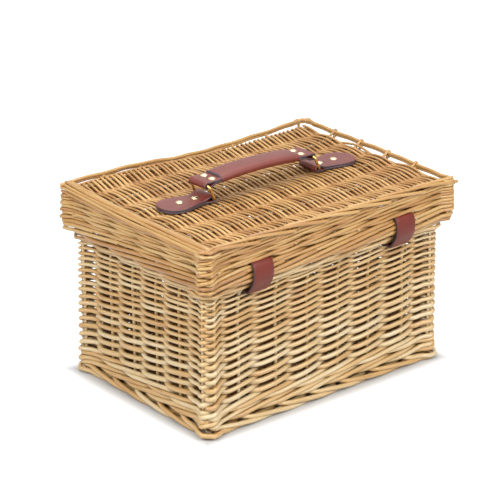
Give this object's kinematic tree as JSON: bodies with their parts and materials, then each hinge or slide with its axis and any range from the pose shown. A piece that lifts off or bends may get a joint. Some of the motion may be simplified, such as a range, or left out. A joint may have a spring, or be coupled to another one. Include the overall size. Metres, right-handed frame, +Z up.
{
  "type": "picnic basket",
  "caption": "Rectangular wicker picnic basket with a skirted lid on leather hinge loops, a leather handle on wire rings, and buckled front straps.",
  "frame": {"origin": "on the floor under the middle of the foot border", "axes": "+X along the basket to the right as seen from the front, +Y towards the back with the hinges, +Z up"},
  "size_m": [0.361, 0.2694, 0.2501],
  "materials": {
    "willow_weave": "lacquered buff willow rods",
    "willow_stake": "lacquered buff willow rods",
    "willow_border": "lacquered buff willow rods",
    "leather": "smooth red-brown leather with dark cut edges",
    "grip_leather": "smooth padded red-brown leather",
    "ring_brass": "polished brass wire",
    "rivet_brass": "polished pale brass"
  },
  "bodies": {
    "basket": {"base_weave": "willow_weave", "base_stick_1": "willow_stake", "base_stick_2": "willow_stake", "base_stick_3": "willow_stake", "base_stick_4": "willow_stake", "base_stick_5": "willow_stake", "base_stick_6": "willow_stake", "foot_border": "willow_border", "lower_wale": "willow_border", "side_weave": "willow_weave", "rim_wale": "willow_weave", "side_stakes_and_rim": "willow_stake", "hinge_strap_left": "leather", "hinge_strap_right": "leather", "hinge_rivet_left": "rivet_brass", "hinge_rivet_right": "rivet_brass", "strap_anchor_left": "leather", "strap_anchor_right": "leather", "strap_rivet_left_1": "rivet_brass", "strap_rivet_left_2": "rivet_brass", "strap_rivet_right_1": "rivet_brass", "strap_rivet_right_2": "rivet_brass"},
    "lid": {"lid_stakes_and_border": "willow_stake", "lid_skirt": "willow_weave", "lid_top_border": "willow_border", "lid_weave": "willow_weave", "lid_stick_1": "willow_stake", "lid_stick_2": "willow_stake", "lid_stick_3": "willow_stake", "lid_stick_4": "willow_stake", "lid_stick_5": "willow_stake", "lid_stick_6": "willow_stake", "handle_tab_left": "leather", "handle_tab_right": "leather", "tab_rivet_left_1": "rivet_brass", "tab_rivet_left_2": "rivet_brass", "tab_rivet_right_1": "rivet_brass", "tab_rivet_right_2": "rivet_brass", "buckle_chape_left": "leather", "buckle_chape_right": "leather", "chape_rivet_left_1": "rivet_brass", "chape_rivet_left_2": "rivet_brass", "chape_rivet_right_1": "rivet_brass", "chape_rivet_right_2": "rivet_brass"},
    "ring_left": {"handle_ring_left": "ring_brass"},
    "ring_right": {"handle_ring_right": "ring_brass"},
    "handle": {"handle_strap": "leather", "handle_grip": "grip_leather", "handle_rivet_left_front": "rivet_brass", "handle_rivet_left_back": "rivet_brass", "handle_rivet_right_front": "rivet_brass", "handle_rivet_right_back": "rivet_brass"},
    "buckle_left": {"buckle_frame_left": "ring_brass"},
    "buckle_right": {"buckle_frame_right": "ring_brass"},
    "prong_left": {"buckle_prong_left": "ring_brass"},
    "prong_right": {"buckle_prong_right": "ring_brass"},
    "strap_left": {"strap_tail_left": "leather"},
    "strap_right": {"strap_tail_right": "leather"}
  },
  "joints": [
    {"name": "lid_hinge", "type": "hinge", "parent": "basket", "child": "lid", "pos_m": [0, 0.125, 0.17185], "axis": [-1, 0, 0], "range_deg": [0, 110], "deforming": ["hinge_strap_left", "hinge_strap_right"]},
    {"name": "ring_left_pivot", "type": "hinge", "parent": "lid", "child": "ring_left", "pos_m": [-0.076, 0, 0.22307], "axis": [0, 1, 0], "range_deg": [-80, 30]},
    {"name": "ring_right_pivot", "type": "hinge", "parent": "lid", "child": "ring_right", "pos_m": [0.076, 0, 0.22307], "axis": [0, 1, 0], "range_deg": [-80, 30]},
    {"name": "handle_pivot", "type": "hinge", "parent": "ring_left", "child": "handle", "pos_m": [-0.06818, 0, 0.23984], "axis": [0, 1, 0], "range_deg": [-30, 80]},
    {"name": "buckle_left_swing", "type": "hinge", "parent": "lid", "child": "buckle_left", "pos_m": [-0.1025, -0.13247, 0.181], "axis": [-1, 0, 0], "range_deg": [0, 100]},
    {"name": "buckle_right_swing", "type": "hinge", "parent": "lid", "child": "buckle_right", "pos_m": [0.1025, -0.13247, 0.181], "axis": [-1, 0, 0], "range_deg": [0, 100]},
    {"name": "prong_left_swing", "type": "hinge", "parent": "buckle_left", "child": "prong_left", "pos_m": [-0.1025, -0.13247, 0.181], "axis": [-1, 0, 0], "range_deg": [0, 45]},
    {"name": "prong_right_swing", "type": "hinge", "parent": "buckle_right", "child": "prong_right", "pos_m": [0.1025, -0.13247, 0.181], "axis": [-1, 0, 0], "range_deg": [0, 45]},
    {"name": "strap_left_swing", "type": "hinge", "parent": "basket", "child": "strap_left", "pos_m": [-0.1025, -0.1198, 0.11845], "axis": [-1, 0, 0], "range_deg": [0, 110]},
    {"name": "strap_right_swing", "type": "hinge", "parent": "basket", "child": "strap_right", "pos_m": [0.1025, -0.1198, 0.11845], "axis": [-1, 0, 0], "range_deg": [0, 110]}
  ],
  "couplings": [
    {"joint": "ring_right_pivot", "follows": "ring_left_pivot", "ratio": 1},
    {"joint": "handle_pivot", "follows": "ring_left_pivot", "ratio": -1}
  ]
}
